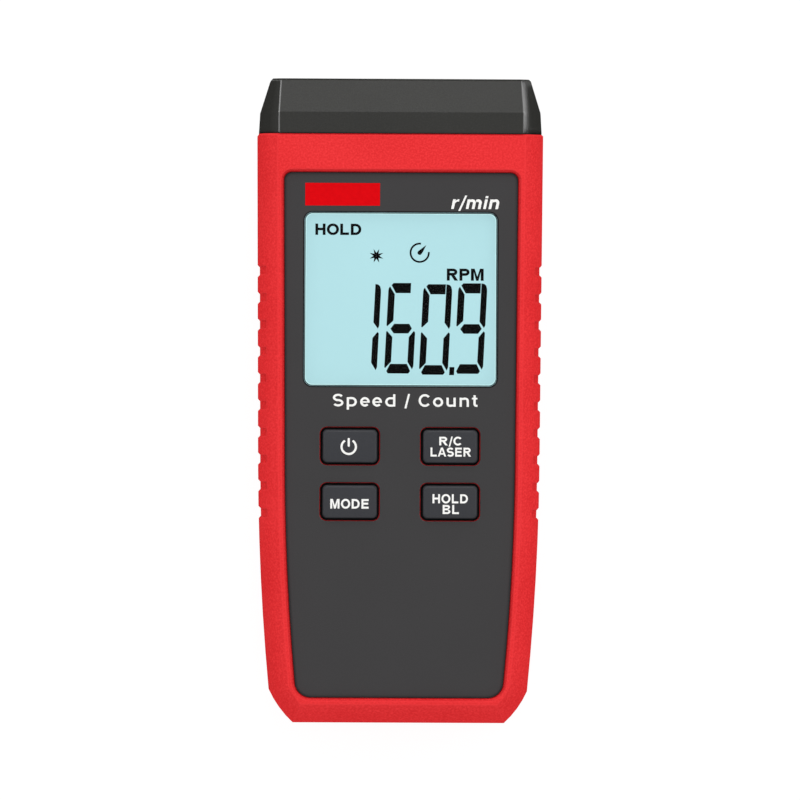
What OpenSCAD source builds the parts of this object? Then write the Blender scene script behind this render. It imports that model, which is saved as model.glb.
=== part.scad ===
// Handheld laser tachometer: a two-part moulded housing with a face plate, a display, four keys,
// an optical end cap, a battery bay with a sliding cover, and the parts inside. Millimetres.
// +Z points out of the display, +Y towards the laser end, and the back face lies at z = 0.
// Each piece is drawn with the foot edge at y = 0, and placed() then centres the length.

/* [Housing] */
// Overall length, end cap included
overall_l = 131; // [126:1:140]
// Width across the shells beside the end cap
body_w = 58; // [57:0.5:62]
// Thickness from the back face to the front rim
body_t = 28; // [27.2:0.2:31]
// Wall thickness of the shells
wall = 2; // [1.8:0.1:2.3]
// Height of the parting line above the back face
parting_z = 13; // [12:0.5:15]
// Depth of the small groove along the parting line, on each shell
parting_groove = 0.2; // [0.1:0.05:0.3]
// How far each side draws in between the end cap and the start of its curve
side_taper = 0.45; // [0.2:0.05:0.8]
// Height above the foot at which the sides start to curve in
curve_y = 52; // [44:1:60]
// Width of the flat foot edge
foot_w = 43; // [42:0.2:45]
// Width at the top of the foot corners
corner_w = 52.4; // [51.6:0.2:53.6]
// Height of the foot corners
corner_h = 6.5; // [5:0.5:8]
// Outward bulge of the foot corners
corner_bulge = 0.43; // [0.2:0.05:0.7]
// Width of the rounded front bevel
bevel_w = 3.8; // [3:0.1:4.2]
// Depth of the rounded front bevel
bevel_h = 6.8; // [5:0.2:8]
// Angle that the rounded bevels sweep before they meet the front or the back
bevel_sweep = 64; // [50:1:80]
// Width of the rounded back bevel
back_bevel_w = 3; // [2:0.1:3.6]
// Depth of the rounded back bevel
back_bevel_h = 5; // [3:0.2:7]
// Chamfer round the shells' edge beside the end cap
top_edge = 0.3; // [0.2:0.05:0.5]

/* [Side grips] */
// Number of notches along each side
grip_count = 10; // [6:1:10]
// Spacing of the notches
grip_pitch = 5.48; // [5:0.05:6]
// Length of one notch
grip_l = 2.5; // [2:0.1:3.2]
// Depth of one notch
grip_depth = 0.45; // [0.3:0.05:0.7]
// Distance from the top of the shells to the first notch
grip_top = 26.6; // [24:0.2:32]

/* [End cap] */
// Length of the cap outside the shells
cap_l = 11.2; // [10:0.2:13]
// How far the cap stands back from the shells' surface
cap_step = 0.3; // [0.2:0.05:0.6]
// Length of the tapered part of the cap
cap_taper_l = 6.8; // [5.5:0.2:8]
// How far the tapered part draws in on every side
cap_taper_in = 2.2; // [1:0.1:2.6]
// How far the lower part of the cap draws in on every side
cap_draft = 0.25; // [0.1:0.05:0.4]
// Chamfer round the end face of the cap
cap_edge = 0.35; // [0.2:0.05:0.6]
// Size of the cap's rounded corners at the start of the taper, against those at the shells
cap_mid_corner = 0.94; // [0.85:0.01:1]
// Size of the cap's rounded corners at the end face, against those at the shells
cap_tip_corner = 0.51; // [0.4:0.01:0.9]
// Length of the spigot that enters the shells
spigot_l = 2.5; // [2:0.1:3]
// Wall thickness of the spigot
spigot_wall = 1.4; // [1.2:0.1:1.8]

/* [Face plate] */
// Width of the red border beside the plate
plate_border = 5.2; // [5:0.1:5.6]
// Red band between the plate and the end cap
plate_top_band = 7.9; // [7:0.1:9]
// Red band between the plate and the foot
plate_foot_band = 5.2; // [4.6:0.2:6]
// Thickness of the plate
plate_t = 0.8; // [0.6:0.1:1]
// How far the plate lies below the rim
plate_recess = 1; // [0.6:0.1:1.2]
// Slope of the rim's inner wall, as a width
rim_draft = 0.5; // [0.2:0.05:0.6]
// Chamfer along the rim's inner edge
rim_edge = 0.15; // [0.1:0.05:0.25]
// Corner radius at the top of the plate
plate_top_r = 1.5; // [1:0.1:2.5]
// Corner radius at the foot of the plate
plate_foot_r = 3.2; // [2:0.1:4]

/* [Display] */
// Width of the window
window_w = 39.2; // [36:0.2:40]
// Height of the window
window_l = 35.3; // [32:0.2:36]
// Corner radius of the window
window_r = 1.65; // [1:0.05:3]
// Distance from the top of the plate to the window
window_top = 8.1; // [7.6:0.1:9]
// How far the window lies below the plate
window_recess = 0.2; // [0.1:0.05:0.4]
// Thickness of the window's hidden flange
window_flange_t = 0.6; // [0.4:0.1:0.8]
// How far the flange reaches past the visible window
window_flange_w = 1.2; // [0.8:0.1:1.6]
// Thickness of the ledge between the window and the display glass
ledge_t = 0.6; // [0.4:0.1:0.8]
// Thickness of the display glass
lcd_t = 2.6; // [2.2:0.1:2.8]
// Margin of the display glass past the window, across
lcd_margin_x = 2.2; // [1.8:0.1:2.4]
// Margin of the display glass past the window, along
lcd_margin_y = 2.4; // [2:0.1:2.6]
// Wall of the frame round the display glass
lcd_frame_wall = 1.3; // [1:0.1:1.5]
// Width of a rubber connector strip
zebra_w = 2; // [1.6:0.1:2.4]

/* [Keys] */
// Width of a key
key_w = 11.1; // [10:0.1:12]
// Height of a key
key_l = 6.7; // [6:0.1:7.4]
// Corner radius of a key
key_r = 0.9; // [0.6:0.1:1.6]
// Radius of the rounding round a key's top
key_edge = 0.55; // [0.3:0.05:0.7]
// Spacing of the key columns
key_pitch_x = 20.4; // [18:0.2:21]
// Spacing of the key rows
key_pitch_y = 11.3; // [10.8:0.1:11.6]
// Distance from the window to the middle of the first key row
key_drop = 12.2; // [11.6:0.1:13]
// How far a key stands above the plate
key_rise = 0.9; // [0.7:0.1:1.4]
// Travel of a key
key_travel = 0.9; // [0.6:0.1:1]
// Gap between a key and its hole in the shell
key_gap = 0.45; // [0.3:0.05:0.5]
// Width of the shell's ledge that shows inside the plate's key hole
key_ledge = 0.15; // [0.1:0.05:0.3]
// How far the key's flange reaches under the shell
key_flange_w = 1.1; // [0.8:0.1:1.3]
// Thickness of the key's flange
key_flange_t = 1; // [0.8:0.1:1.2]
// Radius of the key's stem
key_stem_r = 2; // [1.6:0.1:2.4]
// Height of a rubber dome
dome_h = 3; // [2.6:0.1:3.2]
// Radius of a rubber dome at the board
dome_r = 4.2; // [3.6:0.1:4.6]

/* [Board] */
// Thickness of the board
board_t = 1.6; // [1.2:0.1:2]
// Gap between the battery bay and the board
board_gap = 1.2; // [1:0.1:1.6]
// Side of the square controller chip
chip_w = 10; // [7:0.5:12]
// Thickness of the controller chip
chip_t = 1.2; // [0.8:0.1:1.6]

/* [Battery bay] */
// Diameter of a cell
cell_d = 10.5; // [10:0.1:10.6]
// Length of a cell with its terminal
cell_l = 44.5; // [43:0.5:45]
// Spacing of the cells
cell_pitch = 11; // [10.8:0.1:11.2]
// Length of a battery spring as fitted
spring_l = 4.5; // [3.5:0.1:5]
// Thickness of a contact plate
contact_t = 0.4; // [0.3:0.1:0.5]
// Wire diameter of a battery spring
spring_wire = 0.6; // [0.5:0.05:0.7]
// Wall thickness of the bay
bay_wall = 1.2; // [1:0.1:1.4]
// Distance from the foot edge to the bay
bay_y = 10; // [9:0.5:12]
// Thickness of the cover
cover_t = 2; // [1.8:0.1:2.4]
// How far the cover lies above the back face
cover_recess = 0.3; // [0.2:0.05:0.5]
// How far the cover reaches past the bay at its top
cover_lap = 5; // [4:0.5:7]
// Width of the cover's side tongues
tongue_w = 1.2; // [0.8:0.1:1.4]
// Thickness of the cover's side tongues
tongue_t = 1; // [0.8:0.1:1.1]

/* [Optics] */
// Spacing of the laser and the receiver
optics_pitch = 18; // [17:0.5:20]
// Diameter of the laser barrel
laser_d = 6; // [5:0.5:7]
// Length of the laser barrel
laser_l = 15; // [12:0.5:16]
// Diameter of the laser window
laser_window_d = 7; // [6:0.5:8]
// Diameter of the receiver lens
lens_d = 13; // [11:0.5:14]
// Diameter of the receiver sensor
sensor_d = 5; // [4:0.5:6]

/* [Fasteners] */
// Diameter of a case screw's shank
case_screw_d = 2.5; // [2.2:0.1:2.8]
// Diameter of a case screw's head
case_head_d = 4.6; // [4:0.1:4.8]
// Depth of the well in front of a case screw's head
case_well = 4.5; // [3:0.5:6]
// Outside radius of the case screw bosses
boss_r = 2.9; // [2.8:0.1:3]
// Diameter of a board screw's shank
board_screw_d = 2; // [1.8:0.1:2.2]
// Outside radius of the board posts
post_r = 2.2; // [2:0.1:2.4]

/* [Hidden] */
$fn = 64;

// Clearances and overlaps
fit = 0.1;          // sliding or seating clearance, each side
seat = 0.05;        // gap between faces that rest on each other
bite = 0.3;         // overlap of features that are moulded in one piece
past = 1;           // how far a cutter runs past the face it cuts
inner_gap = 0.8;    // gap beside the bosses and posts inside the shells
near_gap = 0.4;     // gap between a board post and the pieces before and behind it
flange_gap = 1.2;   // gap between a key's flange and the board posts
bore_ledge = 1;     // width of the ledge on which a window or lens seats
lip_t = 0.9;        // width of the lip's zone at the parting line
lip_h = 1.2;        // height of the lip at the parting line

// Facet counts of the lofted forms
corner_steps = 4;
curve_steps = 6;
bevel_steps = 6;
arc_steps = 6;

// Heights of the front, from the rim inwards
crest_z = body_t;
plate_z = crest_z - plate_recess;
plate_seat_z = plate_z - plate_t;
front_in_z = plate_seat_z - wall;
window_z = plate_z - window_recess;
flange_seat_z = plate_seat_z - window_flange_t;
lcd_top_z = flange_seat_z - ledge_t - seat;
lcd_z = lcd_top_z - lcd_t;
key_top_z = plate_z + key_rise;
key_flange_z = front_in_z - seat;

// Heights of the back, from the back face inwards
cover_top_z = cover_recess + cover_t;
bay_z = cover_top_z + fit + seat;
cell_axis_z = bay_z + fit + cell_d / 2;
bay_ceiling_z = cell_axis_z + cell_d / 2 + fit;
bay_top_z = bay_ceiling_z + bay_wall;
board_z = bay_top_z + board_gap;
board_top_z = board_z + board_t;
axis_z = crest_z / 2;

// Places along the length
shell_l = overall_l - cap_l;
side_sag = side_line(corner_h) - corner_w / 2;
plate_top_y = shell_l - plate_top_band;
window_y = plate_top_y - window_top - window_l / 2;
key_row_y = [window_y - window_l / 2 - key_drop, window_y - window_l / 2 - key_drop - key_pitch_y];
bay_l = cell_l + spring_l + 2 * contact_t + fit;
bay_half_w = cell_pitch + cell_d / 2 + fit;
cover_half_w = bay_half_w + bay_wall;
cover_l = bay_y + bay_l + bay_wall + cover_lap;

// Display stack, from the middle of the window
lcd_w = window_w + 2 * lcd_margin_x;
lcd_l = window_l + 2 * lcd_margin_y;
frame_w = lcd_w + 2 * (fit + lcd_frame_wall);
frame_l = lcd_l + 2 * (fit + lcd_frame_wall);
zebra_y = lcd_l / 2 - zebra_w;
light_margin = 1.5;
light_gap = 1;
light_w = lcd_w - 2 * light_margin;
light_l = 2 * zebra_y - zebra_w - 2 * light_gap;

// Screw places: right-hand x and y, mirrored to the left
boss_wall_gap = 1.3;
case_top_y = shell_l - spigot_l - boss_r - inner_gap;
case_foot_rise = 16;
case_foot_y = bay_y + case_foot_rise;
case_screw_at = [for (y = [case_foot_y, case_top_y]) [half_w(y) - wall - boss_wall_gap - boss_r, y]];
post_y_low = (key_row_y[0] + key_row_y[1]) / 2;
post_y_high = window_y + frame_l / 2 + post_r + near_gap;
post_x_low = key_pitch_x / 2 + key_w / 2 + key_gap + key_flange_w + post_r + flange_gap;
post_x_high = case_screw_at[1].x - boss_r - post_r - inner_gap;
board_post_at = [[post_x_low, post_y_low], [post_x_high, post_y_high]];
board_head_r = board_screw_d;
board_head_h = 1.1;
board_screw_l = 5.5;
case_head_h = 1.8;
case_screw_l = 11;

// Optics
laser_x = -optics_pitch / 2;
receiver_x = optics_pitch / 2;
cap_wall = 2.5;
cap_seam = 0.1;
cap_flange = 1.5;
cap_in_y = overall_l - cap_wall;
holder_y = post_y_high + post_r + near_gap;
holder_l = shell_l - holder_y - inner_gap;
holder_h = lens_d - 2 * bore_ledge;
laser_y = cap_in_y - seat - laser_l;
sensor_flange_t = 1;
sensor_l = 7;
laser_window_t = 1;
lens_seat = 1.7;

// Springs
spring_turns = 3;
spring_rings_per_turn = 14;
spring_sides = 8;
spring_big_r = 3.7;
spring_small_r = 2.4;

red = "#dc2f32";
dark_grey = "#434243";
cap_grey = "#3c3c3b";
steel = "#b9bcc0";

// Helpers

function lerp(a, b, t) = a + (b - a) * t;
function unit(v) = v / norm(v);
function edge_normal(a, b) = unit([b.y - a.y, a.x - b.x]);
function mirrored(points) = [for (i = [len(points) - 1:-1:0]) [-points[i].x, points[i].y]];

// Half width of the shells at a height above the foot: a straight taper, then a parabola inwards.
function side_line(y) = body_w / 2 - side_taper * (shell_l - y) / (shell_l - curve_y);
function half_w(y) =
    side_line(y) - (y < curve_y ? side_sag * pow((curve_y - y) / (curve_y - corner_h), 2) : 0);

// Foot corner: a chord from the foot edge to the side, bowed outwards.
function corner_points() =
    let (a = [foot_w / 2, 0], b = [corner_w / 2, corner_h], n = edge_normal(a, b))
    [for (i = [0:corner_steps - 1])
        let (t = i / corner_steps) lerp(a, b, t) + n * corner_bulge * 4 * t * (1 - t)];

// Outline of the shells seen from the front, counter-clockwise, up to a given top edge.
function right_side(top) = concat(
    corner_points(),
    [for (i = [0:curve_steps]) let (y = lerp(corner_h, curve_y, i / curve_steps)) [half_w(y), y]],
    [[half_w(top), top]]);
function outline(top) = concat(right_side(top), mirrored(right_side(top)));

// Direction in which an outline point moves when the outline shrinks. The top edge stays where it is.
function inset_direction(points, i) =
    let (n = len(points),
         a = edge_normal(points[(i + n - 1) % n], points[i]),
         b = edge_normal(points[i], points[(i + 1) % n]))
    a.y > 0.99 ? [1 / b.x, 0] : b.y > 0.99 ? [1 / a.x, 0] : (a + b) / (1 + a * b);
function inset_ring(points, d, z) =
    [for (i = [0:len(points) - 1]) let (p = points[i] - d * inset_direction(points, i)) [p.x, p.y, z]];

// Closed skin over rings of equal length, each counter-clockwise seen from the last ring's side.
module skin(rings) {
    n = len(rings[0]);
    last = len(rings) - 1;
    polyhedron(
        points = [for (ring = rings) each ring],
        faces = concat(
            [[for (i = [0:n - 1]) i]],
            [for (k = [0:last - 1], i = [0:n - 1])
                [k * n + i, (k + 1) * n + i, (k + 1) * n + (i + 1) % n, k * n + (i + 1) % n]],
            [[for (i = [n - 1:-1:0]) last * n + i]]));
}

// Bevel profiles of the housing: pairs of height and inset, from the back face to the rim.
function bevel_curve(w, h) =
    [for (i = [0:bevel_steps])
        let (a = bevel_sweep * i / bevel_steps)
        [h * sin(a) / sin(bevel_sweep), w * (1 - cos(a)) / (1 - cos(bevel_sweep))]];
front_bevel = [for (p = bevel_curve(bevel_w, bevel_h)) [crest_z - bevel_h + p[0], p[1]]];
back_curve = bevel_curve(back_bevel_w, back_bevel_h);
back_bevel = [for (i = [bevel_steps:-1:0]) [back_bevel_h - back_curve[i][0], back_curve[i][1]]];
front_profile = concat([[parting_z, parting_groove], [parting_z + parting_groove, 0]], front_bevel);
rear_profile = concat(back_bevel, [[parting_z - parting_groove, 0], [parting_z, parting_groove]]);
whole_profile = concat(back_bevel, front_bevel);

module housing_form(profile, d = 0, top = shell_l) {
    skin([for (s = profile) inset_ring(outline(top), s[1] + d, s[0])]);
}

// Flat slab over the whole outline, between two heights.
module slab(z_low, z_high) {
    translate([-body_w, -overall_l / 2, z_low]) cube([2 * body_w, 2 * overall_l, z_high - z_low]);
}

// Hollow of the housing: open at the end cap, closed at the back and the front wall.
module hollow() {
    intersection() {
        housing_form(whole_profile, wall, shell_l + past);
        slab(wall, front_in_z);
    }
}

// Lip on the inner half of the front wall, and its rebate in the rear wall. They line up the two shells.
module parting_lip() {
    translate([0, 0, parting_z - lip_h]) linear_extrude(lip_h + bite) difference() {
        polygon(flat_outline(wall - lip_t, shell_l));
        polygon(flat_outline(wall - fit, shell_l + past));
    }
}
module parting_rebate() {
    translate([0, 0, parting_z - lip_h - fit]) linear_extrude(lip_h + fit + past)
        polygon(flat_outline(wall - lip_t - fit, shell_l + past));
}
function flat_outline(d, top) = [for (p = inset_ring(outline(top), d, 0)) [p.x, p.y]];

// Notches of the side grips, of even depth on the side wall and the bevels.
module grip_notches() {
    half_floor = grip_l / 2 - grip_depth;
    difference() {
        for (i = [0:grip_count - 1], side = [-1, 1]) {
            y = shell_l - grip_top - grip_l / 2 - i * grip_pitch;
            x = half_w(y);
            translate([0, y, back_bevel_h / 2])
                linear_extrude(crest_z - bevel_h / 3 - back_bevel_h / 2)
                    polygon([for (p = [[x - wall, -half_floor], [x - grip_depth, -half_floor],
                                       [x + past, -half_floor - grip_depth - past],
                                       [x + past, half_floor + grip_depth + past],
                                       [x - grip_depth, half_floor], [x - wall, half_floor]])
                             [side * p.x, p.y]]);
        }
        housing_form(whole_profile, grip_depth);
    }
}

// Outline of the face plate, grown by d: the housing's sides moved in, with round corners.
function plate_x(y, d) = half_w(y) - plate_border + d;
function plate_right(d) =
    let (low = plate_foot_band - d, high = plate_top_y + d, r1 = plate_foot_r + d, r2 = plate_top_r + d)
    concat(
        [for (i = [0:arc_steps]) let (a = -90 + 90 * i / arc_steps)
            [plate_x(low + r1, d) - r1 + r1 * cos(a), low + r1 + r1 * sin(a)]],
        [for (i = [1:curve_steps]) let (y = lerp(low + r1, curve_y, i / curve_steps)) [plate_x(y, d), y]],
        [for (i = [0:arc_steps]) let (a = 90 * i / arc_steps)
            [plate_x(high - r2, d) - r2 + r2 * cos(a), high - r2 + r2 * sin(a)]]);
function plate_outline(d) = concat(plate_right(d), mirrored(plate_right(d)));
function at_height(points, z) = [for (p = points) [p.x, p.y, z]];

// Rectangle with round corners, as an area and as a ring of points.
module rounded_rect(w, l, r) {
    square([w - 2 * r, l], center = true);
    square([w, l - 2 * r], center = true);
    for (x = [-1, 1], y = [-1, 1]) translate([x * (w / 2 - r), y * (l / 2 - r)]) circle(r);
}
function rounded_ring(w, l, r, z) =
    [for (q = [0:3], i = [0:arc_steps])
        let (a = 90 * q + 90 * i / arc_steps,
             sx = q == 0 || q == 3 ? 1 : -1,
             sy = q < 2 ? 1 : -1)
        [sx * (w / 2 - r) + r * cos(a), sy * (l / 2 - r) + r * sin(a), z]];

module at_keys() {
    for (x = [-1, 1], y = key_row_y) translate([x * key_pitch_x / 2, y, 0]) children();
}
module at_both_sides(places) {
    for (p = places, side = [-1, 1]) translate([side * p.x, p.y, 0]) children();
}
module along_y() {
    rotate([-90, 0, 0]) children();
}
module placed() {
    translate([0, -overall_l / 2, 0]) children();
}

// Housing

module front_shell() {
    color(red) placed() difference() {
        union() {
            difference() {
                housing_form(front_profile);
                hollow();
            }
            parting_lip();
            at_both_sides(case_screw_at)
                translate([0, 0, parting_z]) cylinder(r = boss_r, h = front_in_z + bite - parting_z);
            at_both_sides(board_post_at)
                translate([0, 0, board_top_z]) cylinder(r = post_r, h = front_in_z + bite - board_top_z);
        }
        top_edge_trim();
        plate_pocket();
        window_opening();
        at_keys() translate([0, 0, front_in_z - past]) linear_extrude(wall + 2 * past)
            rounded_rect(key_w + 2 * key_gap, key_l + 2 * key_gap, key_r + key_gap);
        at_both_sides(case_screw_at) translate([0, 0, parting_z - past])
            cylinder(d = case_screw_d + fit,
                     h = case_well + case_head_h + case_screw_l + 2 * past - parting_z);
        at_both_sides(board_post_at) translate([0, 0, board_top_z - past])
            cylinder(d = board_screw_d + fit, h = board_screw_l + past);
        grip_notches();
    }
}

// Sloped trim round the shells' edge beside the end cap, in the cap's own cross-section.
module top_edge_trim() {
    difference() {
        translate([-body_w, shell_l - top_edge, -past])
            cube([2 * body_w, top_edge + past, body_t + 2 * past]);
        skin([cap_ring(shell_l - 2 * top_edge, -top_edge, 1),
              cap_ring(shell_l + 2 * past, top_edge + 2 * past, 1)]);
    }
}

// Pocket of the face plate: straight at the plate, sloped up to the rim and chamfered at its edge.
module plate_pocket() {
    skin([at_height(plate_outline(seat), plate_seat_z),
          at_height(plate_outline(seat), plate_z),
          at_height(plate_outline(seat + rim_draft), crest_z - rim_edge),
          at_height(plate_outline(seat + rim_draft + rim_edge + past), crest_z + past)]);
}

// Stepped opening of the display: flange pocket, through hole and glass pocket.
module window_opening() {
    translate([0, window_y, 0]) {
        translate([0, 0, flange_seat_z]) linear_extrude(plate_t + window_flange_t)
            rounded_rect(window_w + 2 * (window_flange_w + fit), window_l + 2 * (window_flange_w + fit),
                         window_r + window_flange_w);
        translate([0, 0, front_in_z - past]) linear_extrude(wall + 2 * past)
            rounded_rect(window_w + 2 * fit, window_l + 2 * fit, window_r + fit);
        translate([-lcd_w / 2 - fit, -lcd_l / 2 - fit, front_in_z - past])
            cube([lcd_w + 2 * fit, lcd_l + 2 * fit, lcd_top_z + seat - front_in_z + past]);
    }
}

module rear_shell() {
    rail_w = cover_half_w + tongue_w + 2 * fit + bay_wall;
    color(red) placed() difference() {
        union() {
            difference() {
                housing_form(rear_profile);
                hollow();
                cover_way();
                parting_rebate();
            }
            battery_bay(rail_w);
            at_both_sides(case_screw_at)
                translate([0, 0, wall - bite]) cylinder(r = boss_r, h = parting_z - wall + bite);
            optics_cradle();
        }
        at_both_sides(case_screw_at) {
            translate([0, 0, -past]) cylinder(d = case_head_d + 2 * fit, h = case_well + case_head_h + past);
            translate([0, 0, -past]) cylinder(d = case_screw_d + 4 * fit, h = parting_z + 2 * past);
        }
        tongue_grooves();
        top_edge_trim();
        grip_notches();
    }
}

// Way of the battery cover through the back wall, open at the foot.
module cover_way() {
    translate([-cover_half_w - fit, -past, -past])
        cube([2 * (cover_half_w + fit), cover_l + fit + past, bay_z + past]);
}

// Bay for the cells: side walls, end walls and a ceiling, on rails over the cover's tongues.
module battery_bay(rail_w) {
    outer_l = bay_l + 2 * bay_wall;
    rail_h = 1.2;
    difference() {
        union() {
            translate([-bay_half_w - bay_wall, bay_y - bay_wall, bay_z])
                cube([2 * (bay_half_w + bay_wall), outer_l, bay_top_z - bay_z]);
            intersection() {
                translate([-rail_w, wall - bite, wall - bite])
                    cube([2 * rail_w, cover_l + fit + bay_wall - wall + bite, bay_z + rail_h - wall + bite]);
                housing_form(whole_profile, wall - bite);
            }
        }
        translate([-bay_half_w, bay_y, bay_z - past])
            cube([2 * bay_half_w, bay_l, bay_ceiling_z - bay_z + past]);
        cover_way();
    }
}

// Grooves for the cover's tongues, open at the foot.
module tongue_grooves() {
    groove_w = cover_half_w + tongue_w + fit;
    translate([-groove_w, -past, tongue_z() - fit])
        cube([2 * groove_w, cover_l - cover_lap + fit + past, tongue_t + 2 * fit]);
}
function tongue_z() = cover_top_z - tongue_t;

// Two ribs on the back wall that carry the optics holder.
module optics_cradle() {
    rib_w = 1.6;
    rib_l = shell_l - spigot_l - holder_y - 2 * bite;
    rib_h = axis_z - holder_h / 2 - seat - wall + bite;
    for (x = [laser_x, receiver_x])
        translate([x - rib_w / 2, holder_y + bite, wall - bite]) cube([rib_w, rib_l, rib_h]);
}

module battery_cover() {
    ridge_pitch = 2.4;
    ridge_count = 6;
    ridge_w = 24;
    ridge_depth = 0.5;
    color(dark_grey) placed() difference() {
        union() {
            intersection() {
                translate([-cover_half_w, -past, cover_recess])
                    cube([2 * cover_half_w, cover_l + past, cover_t]);
                housing_form(rear_profile);
            }
            translate([-cover_half_w - tongue_w, corner_h, tongue_z()])
                cube([2 * (cover_half_w + tongue_w), cover_l - cover_lap - corner_h, tongue_t]);
        }
        for (i = [0:ridge_count - 1])
            translate([-ridge_w / 2, bay_y + i * ridge_pitch, cover_recess - past])
                cube([ridge_w, ridge_pitch / 2, ridge_depth + past]);
    }
}

// End cap

// Cross-section of the cap, moved in by d, its corners scaled by k: left side up, right side down.
function cap_side(side, d, k, y) =
    [for (s = whole_profile)
        [side * (body_w / 2 - d - s[1] * k), y,
         s[0] > axis_z ? crest_z - d - (crest_z - s[0]) * k : d + s[0] * k]];
function cap_ring(y, d, k) =
    let (left = cap_side(-1, d, k, y), right = cap_side(1, d, k, y))
    concat(left, [for (i = [len(right) - 1:-1:0]) right[i]]);

// Tapered form of the cap, moved in by d, between a start near the shells and a given end.
module cap_form(d, start, end) {
    step_y = overall_l - cap_taper_l;
    tip = cap_step + cap_draft + cap_taper_in + d;
    skin([cap_ring(start, cap_step + d, 1),
          cap_ring(step_y, cap_step + cap_draft + d, cap_mid_corner),
          cap_ring(end - cap_edge, tip - cap_edge / 2, cap_tip_corner),
          cap_ring(end, tip + cap_edge / 2, cap_tip_corner)]);
}

module end_cap() {
    color(cap_grey) placed() difference() {
        union() {
            cap_form(0, shell_l + cap_seam, overall_l);
            translate([0, shell_l - spigot_l, 0]) spigot_block(0, spigot_l + cap_seam + bite);
        }
        translate([0, shell_l - spigot_l - past, 0])
            spigot_block(spigot_wall, spigot_l + cap_flange + past + bite);
        cap_form(wall, shell_l + cap_flange, cap_in_y);
        translate([laser_x, 0, axis_z]) along_y() {
            cylinder(d = laser_window_d - 2 * bore_ledge, h = overall_l + past);
            translate([0, 0, overall_l - laser_window_t - fit])
                cylinder(d = laser_window_d + fit, h = laser_window_t + fit + past);
        }
        translate([receiver_x, 0, axis_z]) along_y() {
            cylinder(d = lens_d - 2 * bore_ledge, h = overall_l + past);
            translate([0, 0, overall_l - lens_seat])
                cylinder(d = lens_d + fit, h = lens_seat + past);
        }
    }
}

// Rim that enters the shells and holds the cap in line with them, moved in by d.
module spigot_block(d, l) {
    half = half_w(shell_l - spigot_l) - wall - fit - d;
    z0 = wall + fit + d;
    z1 = front_in_z - fit - d;
    chamfer = bevel_w;
    translate([0, l, 0]) rotate([90, 0, 0]) linear_extrude(l)
        polygon([[-half, z0 + chamfer], [-half + chamfer, z0], [half - chamfer, z0], [half, z0 + chamfer],
                 [half, z1 - chamfer], [half - chamfer, z1], [-half + chamfer, z1], [-half, z1 - chamfer]]);
}

// Face plate and display

module face_plate() {
    color(dark_grey) placed() translate([0, 0, plate_seat_z]) linear_extrude(plate_t) difference() {
        polygon(plate_outline(0));
        translate([0, window_y]) rounded_rect(window_w, window_l, window_r);
        at_keys() rounded_rect(key_w + 2 * (key_gap + key_ledge), key_l + 2 * (key_gap + key_ledge),
                               key_r + key_gap + key_ledge);
    }
}

module lcd_window() {
    color("#dff1f3", 0.35) placed() translate([0, window_y, 0]) {
        translate([0, 0, flange_seat_z + seat]) linear_extrude(window_flange_t - 2 * seat)
            rounded_rect(window_w + 2 * window_flange_w, window_l + 2 * window_flange_w,
                         window_r + window_flange_w);
        translate([0, 0, plate_seat_z - 2 * seat]) linear_extrude(window_z - plate_seat_z + 2 * seat)
            rounded_rect(window_w - 2 * seat, window_l - 2 * seat, window_r - seat);
    }
}

// Two glass plates: the lower one runs out to the connector strips.
module lcd_glass() {
    color("#b5e0e5") placed() translate([0, window_y, 0]) {
        translate([-lcd_w / 2, -lcd_l / 2, lcd_z]) cube([lcd_w, lcd_l, lcd_t / 2]);
        translate([-lcd_w / 2, -lcd_l / 2 + zebra_w / 2, lcd_z]) cube([lcd_w, lcd_l - zebra_w, lcd_t]);
    }
}

module lcd_holder() {
    strip_l = lcd_w - 2;
    color("#e8e8e4") placed() translate([0, window_y, 0]) difference() {
        translate([-frame_w / 2, -frame_l / 2, board_top_z + seat])
            cube([frame_w, frame_l, front_in_z - fit - board_top_z - seat]);
        translate([-lcd_w / 2 - fit, -lcd_l / 2 - fit, lcd_z - seat])
            cube([lcd_w + 2 * fit, lcd_l + 2 * fit, crest_z]);
        translate([-light_w / 2 - fit, -light_l / 2 - fit, board_z])
            cube([light_w + 2 * fit, light_l + 2 * fit, crest_z]);
        for (side = [-1, 1])
            translate([-strip_l / 2 - fit, side * zebra_y - zebra_w / 2 - fit, board_z])
                cube([strip_l + 2 * fit, zebra_w + 2 * fit, crest_z]);
    }
}

module lcd_backlight() {
    color("#f4f6f2") placed() translate([-light_w / 2, window_y - light_l / 2, board_top_z + seat])
        cube([light_w, light_l, lcd_z - board_top_z - 2 * seat]);
}

module zebra_strip(side) {
    strip_l = lcd_w - 2;
    color("#d9b9a6") placed()
        translate([-strip_l / 2, window_y + side * zebra_y - zebra_w / 2, board_top_z + seat])
            cube([strip_l, zebra_w, lcd_z - board_top_z - 2 * seat]);
}
module zebra_strip_upper() { zebra_strip(1); }
module zebra_strip_lower() { zebra_strip(-1); }

// Board

module main_board() {
    edge = 1.2;
    foot_gap = 3;
    frame_rim = 0.3;
    ear_rim = 0.2;
    foot_y = wall + foot_gap;
    neck_y = case_foot_y + boss_r + edge;
    neck_w = 2 * (case_screw_at[0].x - boss_r - edge);
    main_w = 2 * (half_w(curve_y) - wall - edge);
    top_y = window_y + frame_l / 2 + frame_rim;
    ear_w = 2 * (post_r + ear_rim);
    color("#1f6a3c") placed() translate([0, 0, board_z]) linear_extrude(board_t) difference() {
        union() {
            translate([-neck_w / 2, foot_y]) square([neck_w, neck_y - foot_y + bite]);
            translate([-main_w / 2, neck_y]) square([main_w, top_y - neck_y]);
            at_both_sides([board_post_at[1]]) translate([-ear_w / 2, top_y - post_y_high - bite])
                square([ear_w, post_y_high - top_y + post_r + bite]);
        }
        at_both_sides(board_post_at) circle(d = board_screw_d + 2 * fit);
    }
}

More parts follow.
